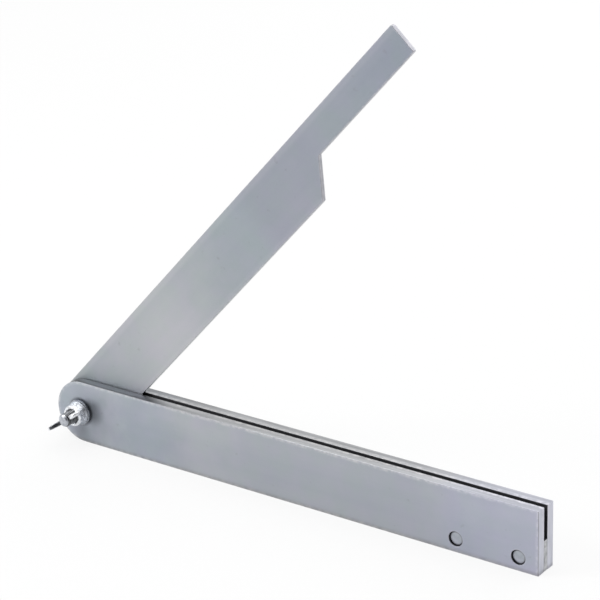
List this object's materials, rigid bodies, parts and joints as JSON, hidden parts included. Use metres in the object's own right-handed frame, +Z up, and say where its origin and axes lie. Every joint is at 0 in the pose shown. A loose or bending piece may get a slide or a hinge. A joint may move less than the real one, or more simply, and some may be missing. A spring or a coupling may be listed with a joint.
{
  "type": "sliding bevel",
  "caption": "All-steel bevel gauge: a stepped blade swings in the slot of a riveted stock and is clamped by a wing nut on a square-neck bolt.",
  "frame": {"origin": "bottom centre of the object's box: halfway along the stock, level with its lower edge, in the plane of its front face to within a millimetre", "axes": "+X along the stock from the pivot to the free end, +Y from the front face, which carries the wing nut, to the back, +Z up from the lower to the upper edge of the stock"},
  "size_m": [0.25, 0.0293, 0.2161],
  "materials": {
    "plate_steel": "satin ground mild steel",
    "blade_steel": "satin ground mild steel, finer grain",
    "rivet_steel": "rivet steel ground flush",
    "bolt_steel": "plain steel, turned end and rolled thread",
    "zinc_plate": "bright zinc plate"
  },
  "bodies": {
    "stock": {"front_plate": "plate_steel", "back_plate": "plate_steel", "spacer": "plate_steel", "rivet_inner": "rivet_steel", "rivet_outer": "rivet_steel", "pivot_bolt": "bolt_steel"},
    "blade": {"blade": "blade_steel"},
    "washer": {"washer": "zinc_plate"},
    "wing_nut": {"wing_nut": "zinc_plate"}
  },
  "joints": [
    {"name": "blade_pivot", "type": "hinge", "parent": "stock", "child": "blade", "pos_m": [-0.1117, 0.0058, 0.0145], "axis": [0, -1, 0], "range_deg": [-47.3, 302.7]},
    {"name": "nut_travel", "type": "slide", "parent": "stock", "child": "washer", "axis": [0, -1, 0], "range_m": [0, 0.001]},
    {"name": "wing_nut_turn", "type": "hinge", "parent": "washer", "child": "wing_nut", "pos_m": [-0.1117, -0.0016, 0.0145], "axis": [0, -1, 0], "range_deg": [0, 360]}
  ],
  "couplings": [
    {"joint": "nut_travel", "follows": "wing_nut_turn", "m_per_rad": 0.00015915}
  ]
}
